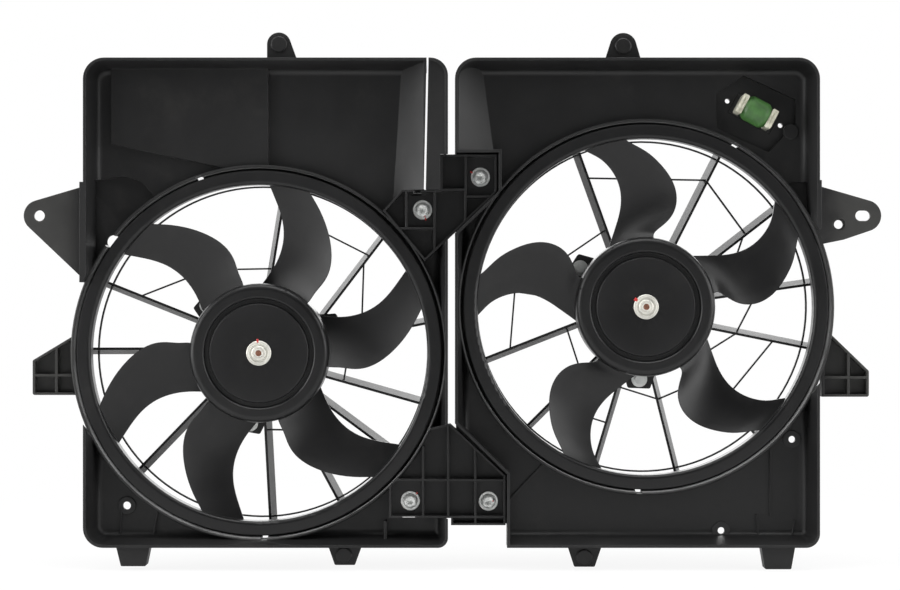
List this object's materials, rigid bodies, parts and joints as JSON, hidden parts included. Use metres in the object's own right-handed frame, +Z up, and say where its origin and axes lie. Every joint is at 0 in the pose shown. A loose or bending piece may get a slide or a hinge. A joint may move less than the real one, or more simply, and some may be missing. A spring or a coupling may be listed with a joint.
{
  "type": "radiator fan shroud assembly",
  "caption": "Two moulded half shrouds screwed together by ribbed arms, each with a banded fan on an electric motor held by slanted struts, plus a fan-speed resistor.",
  "frame": {"origin": "centre of the bounding box in plan, at the bottom of the lowest foot", "axes": "+Z up, +X to the right seen from the radiator, -Y towards the radiator, so the fans turn about Y"},
  "size_m": [0.7724, 0.114, 0.4832],
  "materials": {
    "shroud_plastic": "moulded black polypropylene, satin",
    "fan_plastic": "moulded black polypropylene, satin",
    "zinc_steel": "zinc plated",
    "spring_steel": "bright",
    "shaft_steel": "lightly rusted",
    "motor_black": "black paint, satin",
    "core_steel": "laminated steel",
    "copper": "enamelled copper",
    "magnet": "ferrite",
    "carbon": "carbon",
    "holder_plastic": "moulded",
    "ceramic_green": "green cement coat",
    "connector_black": "moulded"
  },
  "bodies": {
    "shroud": {"join_nuts": "zinc_steel", "join_screws": "zinc_steel", "left_brush_holder": "holder_plastic", "left_brushes": "carbon", "left_front_bearing": "spring_steel", "left_magnets": "magnet", "left_motor_end_cap": "motor_black", "left_motor_housing": "motor_black", "left_motor_screws": "zinc_steel", "left_rear_bearing": "spring_steel", "left_shroud": "shroud_plastic", "resistor_base": "connector_black", "resistor_clips": "spring_steel", "resistor_core": "ceramic_green", "resistor_terminals": "spring_steel", "right_brush_holder": "holder_plastic", "right_brushes": "carbon", "right_front_bearing": "spring_steel", "right_magnets": "magnet", "right_motor_end_cap": "motor_black", "right_motor_housing": "motor_black", "right_motor_screws": "zinc_steel", "right_rear_bearing": "spring_steel", "right_shroud": "shroud_plastic"},
    "left_rotor": {"left_fan": "fan_plastic", "left_shaft": "shaft_steel", "left_fan_clip": "spring_steel", "left_armature_core": "core_steel", "left_windings": "copper", "left_commutator": "copper"},
    "right_rotor": {"right_fan": "fan_plastic", "right_shaft": "shaft_steel", "right_fan_clip": "spring_steel", "right_armature_core": "core_steel", "right_windings": "copper", "right_commutator": "copper"}
  },
  "joints": [
    {"name": "left_fan_spin", "type": "hinge", "parent": "shroud", "child": "left_rotor", "pos_m": [-0.1746, 0, 0.1942], "axis": [0, 1, 0], "continuous": true},
    {"name": "right_fan_spin", "type": "hinge", "parent": "shroud", "child": "right_rotor", "pos_m": [0.1746, 0, 0.2359], "axis": [0, 1, 0], "continuous": true}
  ]
}
